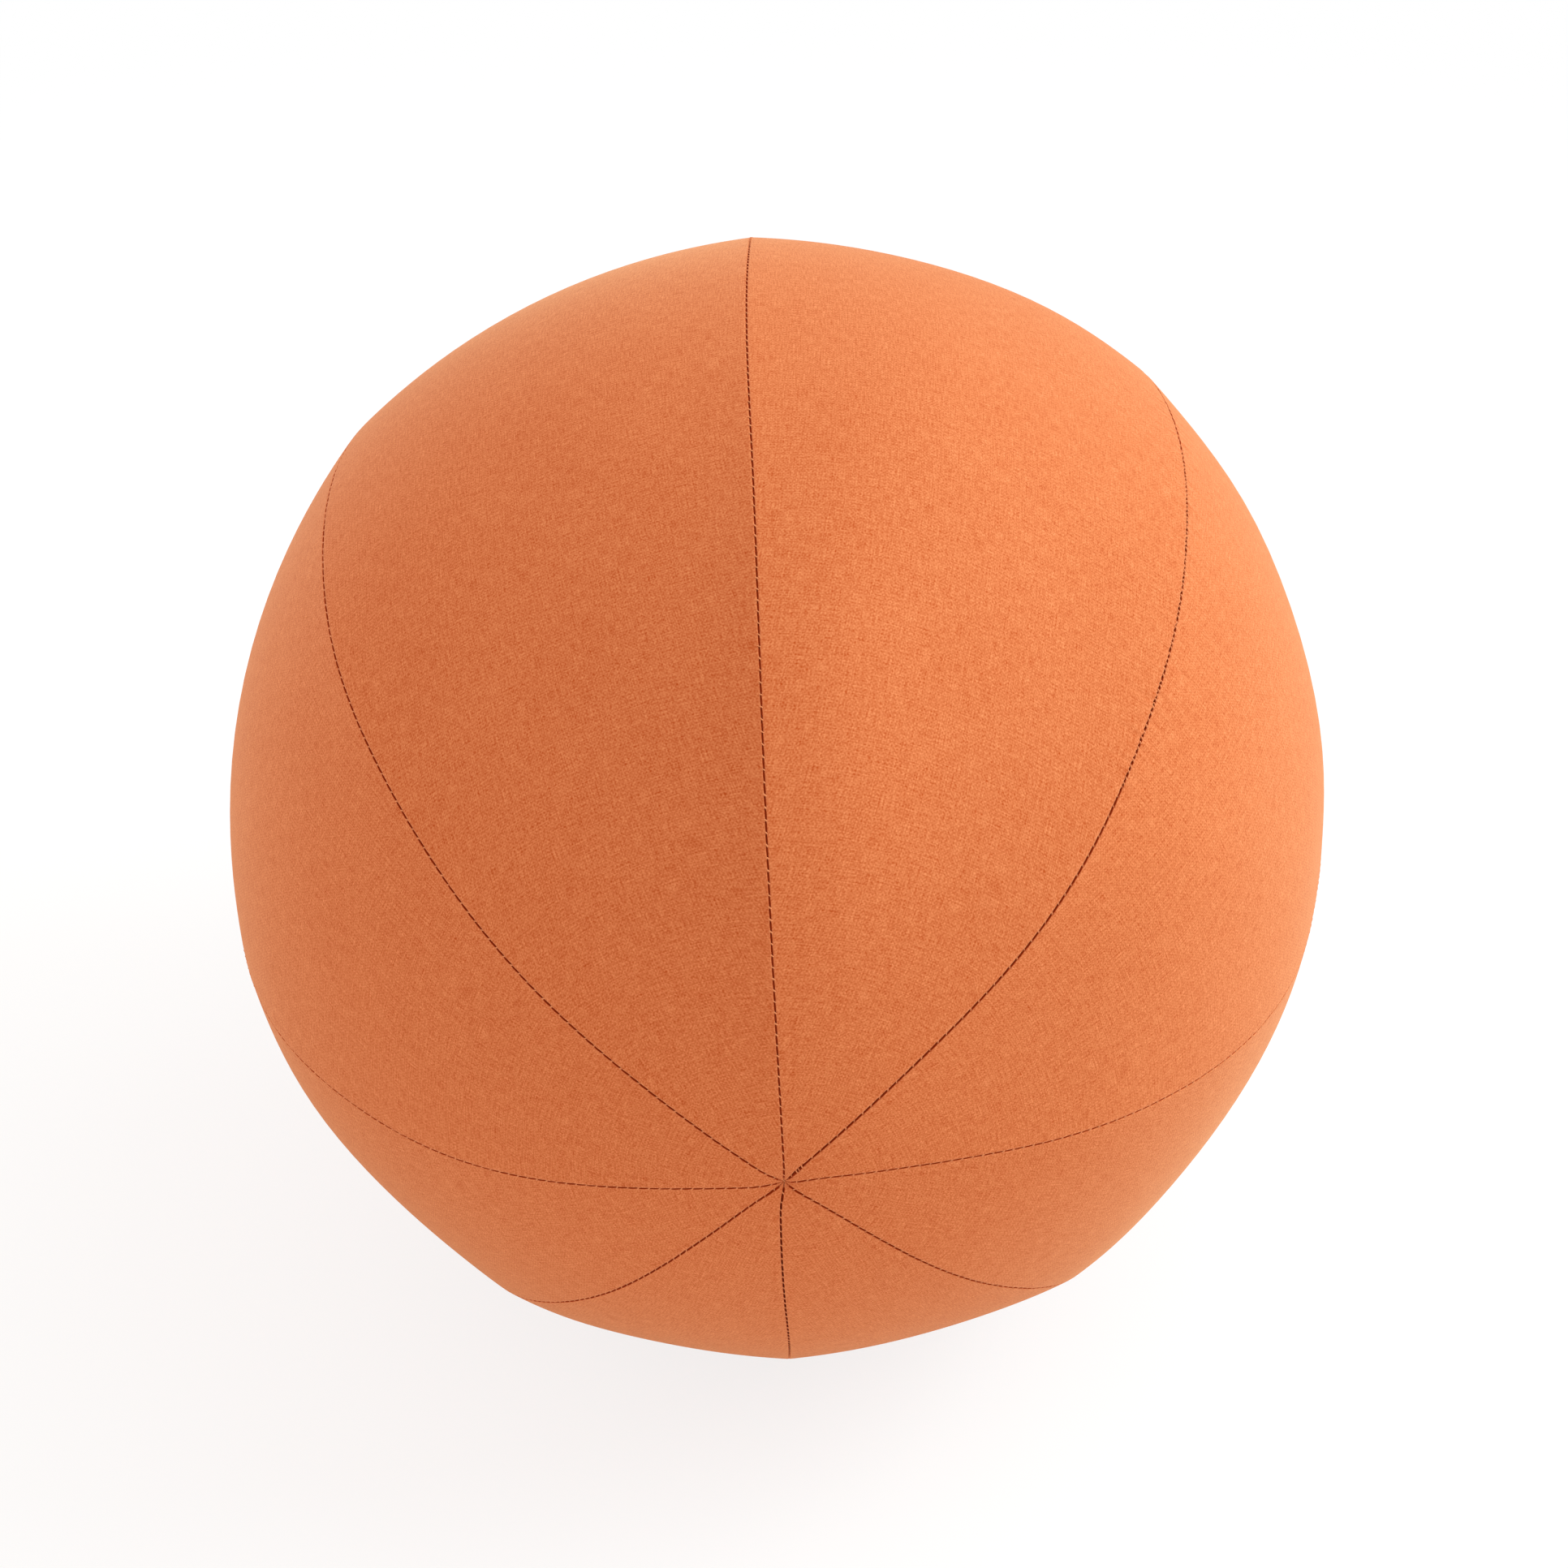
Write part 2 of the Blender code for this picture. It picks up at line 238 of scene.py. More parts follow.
def orangeCottonMaterial():
    look = orangeCotton
    material, tree, shader = newMaterial("orange plain-woven cotton")
    grain = addNode(tree, "UVMap", uv_map="clothGrain").outputs["UV"]
    threads = addNode(
        tree, "VectorMath", {0: grain, "Scale": 1 / look["thread"]}, operation="SCALE"
    ).outputs[0]
    wander = addNode(tree, "TexNoise", {"Vector": threads, "Scale": look["wanderScale"], "Detail": 2.0})
    centred = addNode(
        tree, "VectorMath", {0: wander.outputs["Color"], 1: (0.5, 0.5, 0.5)}, operation="SUBTRACT"
    ).outputs[0]
    spread = addNode(tree, "VectorMath", {0: centred, "Scale": look["wander"]}, operation="SCALE").outputs[0]
    strayed = addNode(tree, "VectorMath", {0: threads, 1: spread}, operation="ADD").outputs[0]
    axes = addNode(tree, "SeparateXYZ", {0: strayed})
    waves = []
    for axis in ("X", "Y"):
        angle = addNode(tree, "Math", {0: axes.outputs[axis], 1: math.pi}, operation="MULTIPLY")
        waves.append(addNode(tree, "Math", {0: angle.outputs[0]}, operation="SINE").outputs[0])
    overUnder = addNode(tree, "Math", {0: waves[0], 1: waves[1]}, operation="MULTIPLY").outputs[0]
    weave = addNode(
        tree, "Math", {0: overUnder, 1: look["weaveTone"] / 2, 2: 0.5}, operation="MULTIPLY_ADD"
    ).outputs[0]
    flecks = addNode(
        tree, "TexNoise", {"Vector": grain, "Scale": 1 / look["hair"], "Detail": 0.0}
    ).outputs["Fac"]
    clear = addNode(
        tree,
        "Math",
        {0: flecks, 1: look["hairTone"], 2: (1 - look["hairTone"]) / 2},
        operation="MULTIPLY_ADD",
    ).outputs[0]
    pattern = addNode(
        tree, "Mix", {"Factor": look["hairShare"], 2: weave, 3: clear}, data_type="FLOAT"
    ).outputs[0]

    # thick and thin stretches along both sets of threads, and uneven dye
    thin, long, soft = (1 / size for size in (*look["slub"], look["cloud"]))
    for stretch, tone in (
        ((thin, long, 1), look["slubTone"]),
        ((long, thin, 1), look["slubTone"]),
        ((soft, soft, 1), look["cloudTone"]),
    ):
        place = addNode(tree, "VectorMath", {0: grain, 1: stretch}, operation="MULTIPLY").outputs[0]
        uneven = addNode(tree, "TexNoise", {"Vector": place, "Scale": 1.0, "Detail": 1.0}).outputs["Fac"]
        shade = addNode(tree, "Math", {0: uneven, 1: tone, 2: -tone / 2}, operation="MULTIPLY_ADD").outputs[0]
        pattern = addNode(tree, "Math", {0: pattern, 1: shade}, operation="ADD").outputs[0]

    clothTone = addNode(
        tree,
        "Mix",
        {"Factor": pattern, 6: colour(look["hollow"]), 7: colour(look["colour"])},
        data_type="RGBA",
    ).outputs[2]
    # painted highlight on the rolled edges along the seams, where light catches them
    foldHighlightShare = addNode(tree, "Attribute", attribute_name="paintedFoldHighlight").outputs["Fac"]
    foldHighlightTone = addNode(
        tree, "Mix", {"Factor": foldHighlightShare, 6: clothTone, 7: colour(look["foldHighlightColour"])}, data_type="RGBA"
    ).outputs[2]
    # painted shade round the holes where the stitches go in
    holeShade = addNode(tree, "Attribute", attribute_name="needleHole").outputs["Fac"]
    holeShadedTone = addNode(
        tree, "Mix", {"Factor": holeShade, 6: foldHighlightTone, 7: colour(look["needleHole"])}, data_type="RGBA"
    ).outputs[2]
    tree.links.new(holeShadedTone, shader.inputs["Base Color"])

    bump = addNode(
        tree, "Bump", {"Height": pattern, "Distance": look["relief"], "Strength": look["reliefStrength"]}
    )
    tree.links.new(bump.outputs[0], shader.inputs["Normal"])
    shader.inputs["Roughness"].default_value = look["roughness"]
    shader.inputs["Specular IOR Level"].default_value = look["shine"]
    shader.inputs["Sheen Weight"].default_value = look["sheen"]
    shader.inputs["Sheen Roughness"].default_value = look["sheenRoughness"]
    shader.inputs["Sheen Tint"].default_value = colour(look["sheenTint"])
    return material


def seamShadeCottonMaterial():  # the same cloth where it is turned in, painted darker as the shade in the seam slot, and pressed flat
    look = orangeCotton
    material, tree, shader = newMaterial("orange cotton, painted shade in the seams")
    grain = addNode(tree, "UVMap", uv_map="clothGrain").outputs["UV"]
    flecks = addNode(tree, "TexNoise", {"Vector": grain, "Scale": 1 / look["hair"], "Detail": 1.5})
    deep, pale = (colour(tone) for tone in look["seamShadeTones"])
    tone = addNode(tree, "Mix", {"Factor": flecks.outputs["Fac"], 6: deep, 7: pale}, data_type="RGBA")
    tree.links.new(tone.outputs[2], shader.inputs["Base Color"])
    bump = addNode(tree, "Bump", {"Height": flecks.outputs["Fac"], "Distance": look["relief"]})
    tree.links.new(bump.outputs[0], shader.inputs["Normal"])
    shader.inputs["Roughness"].default_value = look["roughness"]
    shader.inputs["Specular IOR Level"].default_value = look["shine"]
    return material


# two-ply cotton sewing thread, a little paler than the cloth, with the shine of a twisted yarn
paleThread = {
    "colour": "#E49262",
    "shade": "#C6713E",
    "ply": 0.35 * mm,
    "relief": 0.05 * mm,
    "roughness": 0.7,
    "shine": 0.25,
}


def paleThreadMaterial():
    look = paleThread
    material, tree, shader = newMaterial("pale cotton thread")
    place = addNode(tree, "TexCoord").outputs["Object"]
    ply = addNode(tree, "TexNoise", {"Vector": place, "Scale": 1 / look["ply"], "Detail": 1.0})
    tone = addNode(
        tree,
        "Mix",
        {"Factor": ply.outputs["Fac"], 6: colour(look["shade"]), 7: colour(look["colour"])},
        data_type="RGBA",
    )
    tree.links.new(tone.outputs[2], shader.inputs["Base Color"])
    bump = addNode(tree, "Bump", {"Height": ply.outputs["Fac"], "Distance": look["relief"]})
    tree.links.new(bump.outputs[0], shader.inputs["Normal"])
    shader.inputs["Roughness"].default_value = look["roughness"]
    shader.inputs["Specular IOR Level"].default_value = look["shine"]
    return material


# what the cover hides: unbleached calico, teased fibre, close canvas and dry sand, each with its own grain
insides = {
    "liner_calico": {"name": "unbleached calico", "tones": ("#D9CDB4", "#EDE4D0"), "grain": 0.5 * mm},
    "packed_fibre": {"name": "teased fibre", "tones": ("#D2C7AE", "#EEE6D4"), "grain": 6 * mm},
    "bag_canvas": {"name": "close canvas", "tones": ("#A3977C", "#C2B698"), "grain": 0.7 * mm},
    "sand": {"name": "dry sand", "tones": ("#A98A5E", "#D8BE92"), "grain": 0.6 * mm},
}
insideRoughness = 0.95


def insideMaterial(look):
    material, tree, shader = newMaterial(look["name"])
    place = addNode(tree, "TexCoord").outputs["Object"]
    grain = addNode(tree, "TexNoise", {"Vector": place, "Scale": 1 / look["grain"], "Detail": 3.0})
    tone = addNode(
        tree,
        "Mix",
        {"Factor": grain.outputs["Fac"], 6: colour(look["tones"][0]), 7: colour(look["tones"][1])},
        data_type="RGBA",
    )
    tree.links.new(tone.outputs[2], shader.inputs["Base Color"])
    bump = addNode(tree, "Bump", {"Height": grain.outputs["Fac"], "Distance": look["grain"] / 4})
    tree.links.new(bump.outputs[0], shader.inputs["Normal"])
    shader.inputs["Roughness"].default_value = insideRoughness
    return material


clothMaterial = orangeCottonMaterial()
seamShadeMaterial = seamShadeCottonMaterial()
threadMaterial = paleThreadMaterial()
insideMaterials = {slot: insideMaterial(look) for slot, look in insides.items()}
insideMaterials["sewing_thread"] = threadMaterial
print("materials made")

# sewing: the panels are sewn face to face and turned, so each seam is a narrow slot between two rolled
# edges, and under the tension of the stuffing the rungs of the thread show across it
sewing = {
    "stitch": 3.06 * mm,
    "rowsPerStitch": 6,
    "samples": 4001,  # along a seam, to find even steps
    "touching": 0.03 * mm,  # half the gap that is left where the edges touch
    "hemDepth": 1.25 * mm,  # inside of the doubled edge
    "hemRound": 0.1 * mm,  # its corner is this much higher
    "roll": 0.35 * mm,  # radius of a rolled edge
    "tipRadius": 0.4 * mm,  # the tips of the panels end this far from the sewn axis
    "lean": 0.07 * mm,  # the slot strays this far to each side between two stitches
    "leastHalf": 0.1,  # share of half the slot that stays on the side it strays from
    "dent": 0.10 * mm,  # a stitch presses the rolled edges in by this much
    "dentReach": 0.7 * mm,
    "needleHole": 0.3 * mm,  # reach of the painted shade round the hole where a stitch goes in
    "needleHoleTone": 0.7,
    "foldHighlightShare": 0.25,  # strength of the painted highlight on the rolled edges
    "dimple": (0.7 * mm, 0.7 * mm),  # the poles are drawn in by this much, widely and at the tips
    "dimpleReach": (5 * mm, 1.3 * mm),
    "gape": 0.6,  # the slots are wider by this share where the tips are drawn together
    "gapeReach": 4.5 * mm,
}
# the seams differ a little: width of the slot between the rolled edges, how deep the edges touch and how much
# deeper than usual the rungs of the thread lie, in millimetres, and the share of the slot that a stitch pulls
# shut
seams = {
    "top": {"slot": 0.42, "touch": 0.45, "deeper": 0.08, "pull": 0.6},
    "upper_left": {"slot": 0.46, "touch": 0.75, "deeper": 0.25, "pull": 0.45},
    "left": {"slot": 0.38, "touch": 0.75, "deeper": 0.1, "pull": 0.6},
    "lower_left": {"slot": 0.50, "touch": 0.85, "deeper": 0.36, "pull": 0.2},
    "bottom": {"slot": 0.46, "touch": 0.8, "deeper": 0.22, "pull": 0.45},
    "lower_right": {"slot": 0.46, "touch": 0.85, "deeper": 0.28, "pull": 0.3},
    "right": {"slot": 0.34, "touch": 0.75, "deeper": 0.1, "pull": 0.6},
    "upper_right": {"slot": 0.54, "touch": 1.1, "deeper": 0.45, "pull": 0.12},
}
# the front stretch of the last seam was closed by hand after filling, with close, uneven stitches
closing = {
    "seed": 7,
    "length": 270 * mm,
    "uneven": (45, 100),  # polar angles of the worst stretch, degrees
    "unevenEnds": 4,  # degrees over which it begins and ends
    "open": (0.6 * mm, 1.3 * mm),  # shortest and longest gap between its stitches
    "over": (0.5 * mm, 1.2 * mm),  # shortest and longest run of cloth and thread over the slot
    "cover": 0.9,  # share of the slot that is covered there
    "pucker": 0.18 * mm,
    "puckerReach": 6 * mm,
    "puckerWaves": (2.9 * mm, 4.1 * mm, 6.3 * mm),
    "tieOff": (4.6 * mm, 9.2 * mm),  # from the pole, where its thread is tied off
    "tieOffStitches": 4,
    "tieOffSeed": 5,
    "tieOffOpen": 0.6,  # the slot is wider there by this share
}
closedSeam = len(seams) - 1


def evenPolars():
    tip = math.asin(sewing["tipRadius"] / girth)
    fine = np.linspace(tip, math.pi - tip, sewing["samples"])
    steps = np.hypot(np.diff(girth * np.sin(fine)), np.diff(reach * np.cos(fine)))
    walked = np.concatenate(([0], np.cumsum(steps)))
    stitches = round(walked[-1] / sewing["stitch"])
    even = np.linspace(0, walked[-1], stitches * sewing["rowsPerStitch"] + 1)
    return np.interp(even, walked, fine), even


rowPolars, rowLengths = evenPolars()
stitchRows = np.arange(0, len(rowPolars), sewing["rowsPerStitch"])[1:-1]
stitchPhase = np.arange(len(rowPolars)) / sewing["rowsPerStitch"] % 1  # 0 at a stitch, then up to the next
fromPole = np.minimum(rowLengths, rowLengths[-1] - rowLengths)
stitchPull = np.maximum(0, np.cos(fullTurn * stitchPhase))  # 1 at a stitch, 0 half way to the next
stitchPull[fromPole < sewing["stitch"] / 2] = 0
slotLean = np.where(stitchPhase > 0, 2 * stitchPhase - 1, 0)  # from one side to the other between two


def handClosed(polars):  # 1 along the worst stretch of the hand sewing, 0 elsewhere
    low, high = np.radians(closing["uneven"])
    ends = math.radians(closing["unevenEnds"])
    return np.clip((polars - low) / ends, 0, 1) * np.clip((high - polars) / ends, 0, 1)


def handStitches():  # share of the slot that the hand sewing covers, row by row, and where its stitches are
    draw = np.random.default_rng(closing["seed"])
    covered = np.zeros(len(rowPolars))
    middles = []
    start = 0
    while start < closing["length"]:
        start += draw.uniform(*closing["open"])
        end = start + draw.uniform(*closing["over"])
        covered[(rowLengths >= start) & (rowLengths < end)] = closing["cover"]
        middles.append((start + end) / 2)
        start = end
    polars = np.interp(middles, rowLengths, rowPolars)
    return covered * handClosed(rowPolars), polars[handClosed(polars) > 0.5]


handCover, handPolars = handStitches()


def tiedOff(lengths):  # 1 where the closing thread is tied off near the front pole, 0 elsewhere
    low, high = closing["tieOff"]
    return np.exp(-(((2 * lengths - low - high) / (high - low)) ** 4))


def slotEdge(seam, side):  # from the seam line to the rolled edge, side 1 for larger turns, -1 for smaller
    seam = seam % len(seams)
    look = list(seams.values())[seam]
    half = look["slot"] * mm / 2 * (1 - look["pull"] * stitchPull)
    half = half * (1 + sewing["gape"] * np.exp(-((fromPole / sewing["gapeReach"]) ** 2)))
    if seam == closedSeam:
        half = half * (1 - handCover) * (1 + closing["tieOffOpen"] * tiedOff(rowLengths))
    return np.maximum(half + side * sewing["lean"] * slotLean, sewing["leastHalf"] * half)[:, None]


# panels
panel = {
    "columns": 30,  # across the outside
    "rollSteps": 5,
    "insideColumns": 4,
    "cloth": 0.6 * mm,
    "allowance": 9 * mm,  # turned in along each edge
    "tipShares": (0.45, 0.3, 0.8, 0.9),  # most of the half width for slot, roll, allowance and its step
    "tipThin": 0.55,  # the cloth is trimmed by this share at the tips, where the poles are drawn in
    "tipThinReach": 3 * mm,
    "waver": 0.06 * mm,  # unevenness that the sewing draws into the cloth along a seam
    "waverReach": 9 * mm,
    "waverWaves": (11 * mm, 17 * mm, 29 * mm),
    "seamShadeFrom": 0.3,  # share of a rolled edge's depth from which the faces take the painted seam shade
    "fill": 0.95,
}


def ripple(lengths, seed, waves):  # an uneven wave along a seam, from -1 to 1
    draw = np.random.default_rng(seed)
    total = np.zeros_like(lengths)
    for wave in waves:
        total += np.sin(fullTurn * lengths / wave + draw.uniform(0, fullTurn))
    return total / len(waves)


def seamDraw(seam, side, distance):  # how far the sewing moves the cloth, outwards, at a distance from it
    seed = 10 * (seam % len(seams)) + side
    waver = ripple(rowLengths, seed, panel["waverWaves"])[:, None]
    drawn = panel["waver"] * waver * np.exp(-distance / panel["waverReach"])
    dent = stitchPull[:, None] * sewing["dent"]
    drawn = drawn - dent * np.exp(-((distance / sewing["dentReach"]) ** 2))
    if seam % len(seams) == closedSeam:
        pucker = ripple(rowLengths, seed + 5, closing["puckerWaves"]) * handClosed(rowPolars)
        drawn = drawn + closing["pucker"] * pucker[:, None] * np.exp(-distance / closing["puckerReach"])
    return drawn


def poleDimple(polar):
    ring = girth * np.sin(polar)
    pairs = zip(sewing["dimple"], sewing["dimpleReach"])
    return -sum(dimple * np.exp(-((ring / dimpleReach) ** 2)) for dimple, dimpleReach in pairs)


def edgeProfile(seam, slotHalf, room):  # (distance from the seam line, depth) from the outside to the inside
    touch = list(seams.values())[seam % len(seams)]["touch"] * mm
    rollShare, hemShare, stepShare = panel["tipShares"][1:]
    roll = np.minimum(sewing["roll"], rollShare * room)
    angles = np.linspace(0, math.pi / 2, panel["rollSteps"] + 1)
    hem = np.minimum(panel["allowance"], hemShare * room)
    step = np.minimum(panel["allowance"] + panel["cloth"], stepShare * room)
    none = np.zeros_like(roll)
    touching = np.minimum(sewing["touching"], slotHalf / 2)
    distance = np.hstack((slotHalf + roll * (1 - np.sin(angles)), touching, touching, hem, step))
    depth = np.hstack(
        (
            roll * (1 - np.cos(angles)),
            none + touch,
            none + sewing["hemDepth"] - sewing["hemRound"],
            none + sewing["hemDepth"],
            none + panel["cloth"],
        )
    )
    return distance, depth


def gridObject(name, points, grain, shades):  # a grid of points, joined round and closed at both ends
    rows, columns = points.shape[:2]
    bpy.ops.object.select_all(action="DESELECT")
    bpy.ops.mesh.primitive_grid_add(x_subdivisions=columns - 1, y_subdivisions=rows - 1, size=1)
    piece = bpy.context.object
    piece.name = name
    mesh = piece.data
    mesh.name = name
    flat = np.empty(len(mesh.vertices) * 3, np.float32)
    mesh.vertices.foreach_get("co", flat)
    flat = flat.reshape(-1, 3) + 0.5
    column = np.rint(flat[:, 0] * (columns - 1)).astype(int)
    row = np.rint(flat[:, 1] * (rows - 1)).astype(int)
    mesh.vertices.foreach_set("co", points[row, column].astype(np.float32).ravel())
    corner = np.empty(len(mesh.loops), np.int32)
    mesh.loops.foreach_get("vertex_index", corner)
    grainMap = mesh.uv_layers[0]
    grainMap.name = "clothGrain"
    grainMap.uv.foreach_set("vector", grain[row, column][corner].astype(np.float32).ravel())
    for shadeName, values in shades.items():
        shade = mesh.attributes.new(shadeName, "FLOAT", "POINT")
        shade.data.foreach_set("value", values[row, column].astype(np.float32))
    bpy.ops.object.mode_set(mode="EDIT")
    bpy.ops.mesh.select_all(action="SELECT")
    bpy.ops.mesh.remove_doubles(threshold=0.001 * mm)
    bpy.ops.mesh.fill_holes(sides=0)
    bpy.ops.mesh.normals_make_consistent(inside=False)
    bpy.ops.object.mode_set(mode="OBJECT")
    bpy.ops.object.shade_smooth()
    return piece


def clothInAndOut(piece):  # the cloth outside, and the same cloth painted darker as seam shade on the faces that are turned in
    mesh = piece.data
    tucked = np.empty(len(mesh.vertices), np.float32)
    mesh.attributes["tuckedIn"].data.foreach_get("value", tucked)
    corner = np.empty(len(mesh.loops), np.int32)
    mesh.loops.foreach_get("vertex_index", corner)
    start = np.empty(len(mesh.polygons), np.int32)
    mesh.polygons.foreach_get("loop_start", start)
    # faces turned in deep enough get the darker cloth, painted seam shade
    inside = np.minimum.reduceat(tucked[corner], start) > panel["seamShadeFrom"]
    mesh.materials.append(clothMaterial)
    mesh.materials.append(seamShadeMaterial)
    mesh.polygons.foreach_set("material_index", inside.astype(np.int32))
    mesh.attributes.remove(mesh.attributes["tuckedIn"])


def makePanel(index):
    first, last = seamTurns[index], seamTurns[index + 1]
    polar = rowPolars[:, None]
    ring = girth * np.sin(polar)
    room = ring * (last - first) / 2
    slotMost = panel["tipShares"][0] * room
    nearEdge = np.minimum(slotEdge(index, 1), slotMost)
    farEdge = np.minimum(slotEdge(index + 1, -1), slotMost)
    nearDistance, nearDepth = edgeProfile(index, nearEdge, room)
    farDistance, farDepth = edgeProfile(index + 1, farEdge, room)
    near = first + nearDistance / ring
    far = last - farDistance / ring
    across = (1 - np.cos(math.pi * np.arange(1, panel["columns"]) / panel["columns"])) / 2
    outside = near[:, :1] + (far[:, :1] - near[:, :1]) * across
    back = np.arange(1, panel["insideColumns"]) / panel["insideColumns"]
    inside = far[:, -1:] + (near[:, -1:] - far[:, -1:]) * back
    turn = np.hstack((outside, far, inside, near[:, ::-1], outside[:, :1]))
    depth = np.hstack(
        (
            np.zeros_like(outside),
            farDepth,
            np.full_like(inside, panel["cloth"]),
            nearDepth[:, ::-1],
            np.zeros_like(outside[:, :1]),
        )
    )
    depth = depth * (1 - panel["tipThin"] * np.exp(-((ring / panel["tipThinReach"]) ** 2)))
    fromNear = (turn - first) * ring
    fromFar = (last - turn) * ring
    rise = seamDraw(index, 1, fromNear) + seamDraw(index + 1, 2, fromFar) + poleDimple(polar)
    points = coverPoint(polar, turn, depth - rise)
    grain = np.stack(((turn - (first + last) / 2) * ring, rowLengths[:, None] + 0 * turn), -1)
    fromSlot = np.minimum(fromNear - nearEdge, fromFar - farEdge)
    roll = sewing["roll"]
    # painted highlight on the rolled edges beside each slot
    paintedFoldHighlight = sewing["foldHighlightShare"] * np.exp(-((fromSlot / roll) ** 2))
    # painted shade at each stitch, beside the slot on the far side
    needleHole = np.exp(-(((fromFar - farEdge) / sewing["needleHole"]) ** 2))
    needleHole = sewing["needleHoleTone"] * stitchPull[:, None] ** 4 * needleHole
    tuckedIn = np.clip(depth / roll, 0, 1)
    name = panelNames[index]
    shades = {"paintedFoldHighlight": paintedFoldHighlight, "needleHole": needleHole, "tuckedIn": tuckedIn}
    piece = gridObject("panel_" + name, points, grain, shades)
    clothInAndOut(piece)
    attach(piece, "root")
    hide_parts("gore_" + name)


for index in range(len(panelNames)):
    makePanel(index)
print("panels made:", len(panelNames))


# stitches: one rung is modelled, then repeated along each seam
rung = {
    "sides": 6,
    "cuts": 4,
    "radius": 0.19 * mm,
    "half": 0.46 * mm,  # half its length across the seam
    "slant": 0.36 * mm,  # one end lies this much nearer the front pole
    "sink": 0.05 * mm,  # under the outside of the cloth, half way across the slot
    "lift": 0.08 * mm,  # over the rolled edges
    "plunge": 0.32 * mm,  # into the cloth at its ends
    "uneven": 0.25,
    "shortWithin": 4 * mm,  # of the sewn axis, where the seams come together
    "seed": 100,
}


def seamFrame(polar, turn, depth):  # places along a seam, with directions along, across and out
    nudge, lift = 0.0005, 0.1 * mm  # to the places nearby that give the directions
    place = coverPoint(polar, turn, depth)
    along = coverPoint(polar + nudge, turn, depth) - coverPoint(polar - nudge, turn, depth)
    along /= np.linalg.norm(along, axis=-1, keepdims=True)
    out = coverPoint(polar, turn, depth - lift) - place
    out /= np.linalg.norm(out, axis=-1, keepdims=True)
    across = np.cross(out, along)
    return place, along, across, out


def repeatedRungs(name, count):  # one rung, repeated in its object, and the run of its points
    bpy.ops.object.select_all(action="DESELECT")
    bpy.ops.mesh.primitive_cylinder_add(vertices=rung["sides"], radius=1, depth=2)
    piece = bpy.context.object
    piece.name = name
    piece.data.name = name
    bpy.ops.object.mode_set(mode="EDIT")
    bpy.ops.mesh.select_all(action="DESELECT")
    bpy.ops.object.mode_set(mode="OBJECT")
    for edge in piece.data.edges:  # the long edges
        ends = [piece.data.vertices[i].co.z for i in edge.vertices]
        edge.select = abs(ends[0] - ends[1]) > 1
    bpy.ops.object.mode_set(mode="EDIT")
    bpy.ops.mesh.subdivide(number_cuts=rung["cuts"])
    bpy.ops.object.mode_set(mode="OBJECT")
    shape = np.array([v.co for v in piece.data.vertices])
    copies = piece.modifiers.new("copies", "ARRAY")
    copies.count = count
    copies.use_merge_vertices = False
    bpy.ops.object.modifier_apply(modifier="copies")
    bpy.ops.object.shade_smooth()
    return piece, shape


def placeRungs(piece, shape, frames, half, slant, sink, radius):
    place, along, across, out = (v[:, None, :] for v in frames)
    t = shape[None, :, 2:3]
    rise = rung["lift"] * t**2 - rung["plunge"] * t**8 - sink[:, None, None]
    run = half[:, None, None] * t
    lean = slant[:, None, None] * t
    thick = radius[:, None, None]
    turned = np.hypot(half, slant)[:, None, None]
    sideways = (along * half[:, None, None] - across * slant[:, None, None]) / turned
    points = place + across * run + along * lean + out * rise
    points = points + thick * (out * shape[None, :, 0:1] + sideways * shape[None, :, 1:2])
    points[..., 2] = np.maximum(points[..., 2], ball["clearance"])
    piece.data.vertices.foreach_set("co", points.astype(np.float32).ravel())
    piece.data.update()
    bpy.ops.object.mode_set(mode="EDIT")
    bpy.ops.mesh.select_all(action="SELECT")
    bpy.ops.mesh.normals_make_consistent(inside=False)
    bpy.ops.object.mode_set(mode="OBJECT")


def finishThread(piece, node):
    piece.data.materials.clear()
    piece.data.materials.append(threadMaterial)
    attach(piece, "root")
    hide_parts(node)


def makeRungs(name, node, polars, turn, deeper, draw):
    count = len(polars)
    piece, shape = repeatedRungs(name, count)

    def uneven(value):
        return value * (1 + rung["uneven"] * draw.uniform(-1, 1, count))

    drawn = -poleDimple(polars)
    frames = seamFrame(polars, np.full(count, turn), drawn)
    shrink = np.minimum(1, girth * np.sin(polars) / rung["shortWithin"])
    placeRungs(
        piece,
        shape,
        frames,
        uneven(rung["half"]) * shrink,
        uneven(rung["slant"]) * shrink,
        uneven(rung["sink"]) + deeper,
        uneven(np.full(count, rung["radius"])),
    )
    finishThread(piece, node)


def closingLengths():  # from the front pole to each stitch of the hand sewing
    even = rowLengths[stitchRows[rowLengths[stitchRows] < closing["length"]]]
    low, high = closing["tieOff"]
    byMachine = (handClosed(np.interp(even, rowLengths, rowPolars)) <= 0.5) & ((even < low) | (even > high))
    draw = np.random.default_rng(closing["tieOffSeed"])
    tied = draw.uniform(low, high, closing["tieOffStitches"])
    byHand = np.interp(handPolars, rowPolars, rowLengths)
    return np.sort(np.concatenate((byHand, tied, even[byMachine])))


def makeSeams():
    for seam, (name, look) in enumerate(seams.items()):
        draw = np.random.default_rng(rung["seed"] + seam)
        rows = stitchRows
        deeper = look["deeper"] * mm
        if seam == closedSeam:
            lengths = closingLengths()
            polars = np.interp(lengths, rowLengths, rowPolars)
            byHand = np.maximum(handClosed(polars), tiedOff(lengths)) > 0.5
            depths = np.where(byHand, 0, deeper)
            makeRungs("closing_stitches", "closing_thread", polars, seamTurns[seam], depths, draw)
            rows = stitchRows[rowLengths[stitchRows] > closing["length"]]
        makeRungs("stitches_" + name, "seam_thread_" + name, rowPolars[rows], seamTurns[seam], deeper, draw)


